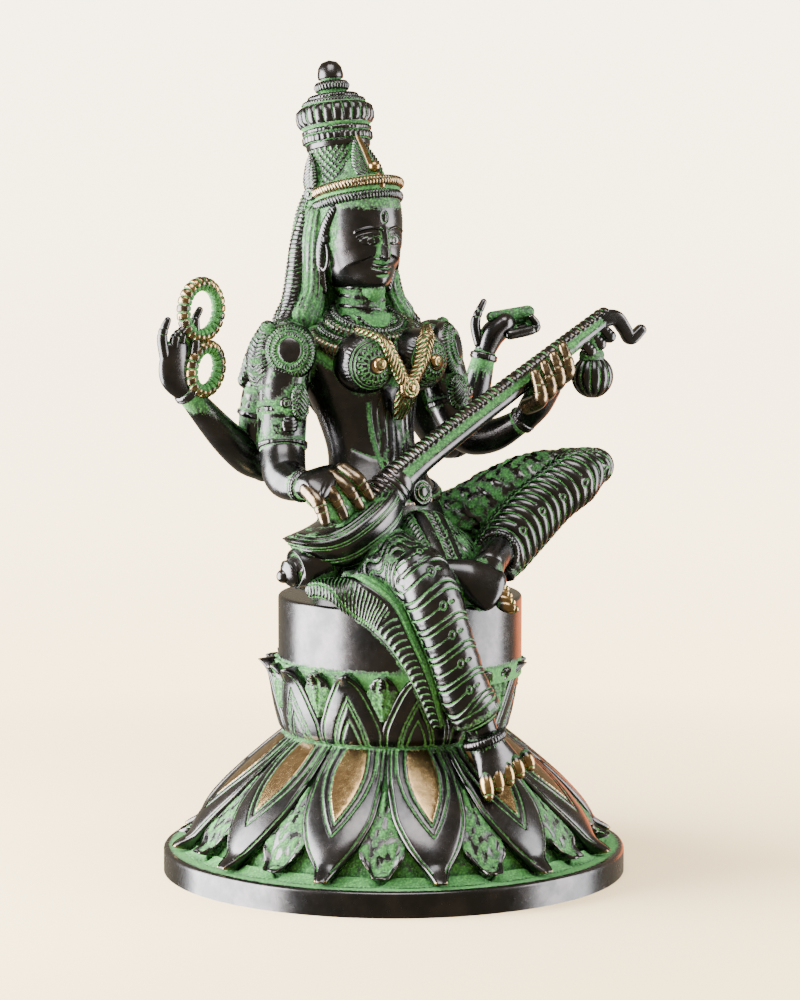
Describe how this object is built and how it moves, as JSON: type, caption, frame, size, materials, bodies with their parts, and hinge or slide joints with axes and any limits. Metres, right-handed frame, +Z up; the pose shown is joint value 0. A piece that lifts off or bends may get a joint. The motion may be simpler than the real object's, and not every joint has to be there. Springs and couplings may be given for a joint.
{
  "type": "saraswati figure",
  "caption": "Cast brass seated four-armed Saraswati playing a veena, one leg hanging, on a drum seat over a double lotus and a round plate",
  "frame": {"origin": "centre of the underside of the round plate", "axes": "+Z up, the figure faces -Y, its own left side is +X"},
  "size_m": [0.1828, 0.1748, 0.305],
  "materials": {
    "patinated_brass": "dark bronze brown over brass, polished on the high spots, with green patina in the recesses and bare brass on the worn edges"
  },
  "bodies": {
    "root": {"saraswati_casting": "patinated_brass"}
  },
  "joints": []
}
